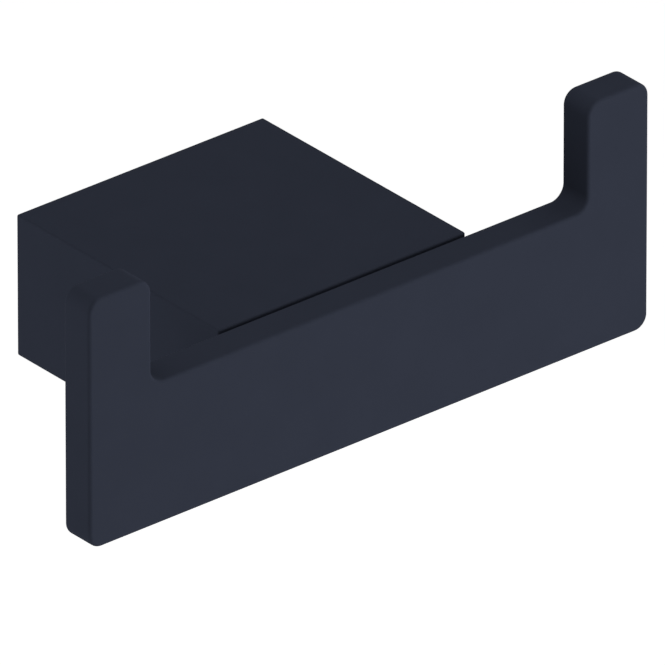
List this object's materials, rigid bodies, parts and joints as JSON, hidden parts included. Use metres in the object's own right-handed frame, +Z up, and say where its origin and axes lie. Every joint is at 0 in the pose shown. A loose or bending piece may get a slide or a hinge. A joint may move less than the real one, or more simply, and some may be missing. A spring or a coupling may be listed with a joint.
{
  "type": "robe hook",
  "caption": "Wall-mounted robe hook: a flat front bar with an upturned prong at each end, on a square post with a concealed bracket.",
  "frame": {"origin": "on the wall plane, at the middle of the post's back, between the bracket's two slots", "axes": "+X along the front plate to the right as seen from the room, +Y into the wall, +Z up"},
  "size_m": [0.0904, 0.045, 0.035],
  "materials": {
    "matt_black_paint": "matt powder coat, black with a faint blue cast",
    "bare_casting": "dull, as cast and tumbled",
    "black_oxide_steel": "black oxide",
    "bright_steel": "zinc plated"
  },
  "bodies": {
    "root": {"hook_plate": "matt_black_paint", "post_housing": "matt_black_paint", "wall_bracket": "bare_casting", "grub_screw": "black_oxide_steel", "plate_screw_left": "bright_steel", "plate_screw_right": "bright_steel"}
  },
  "joints": []
}
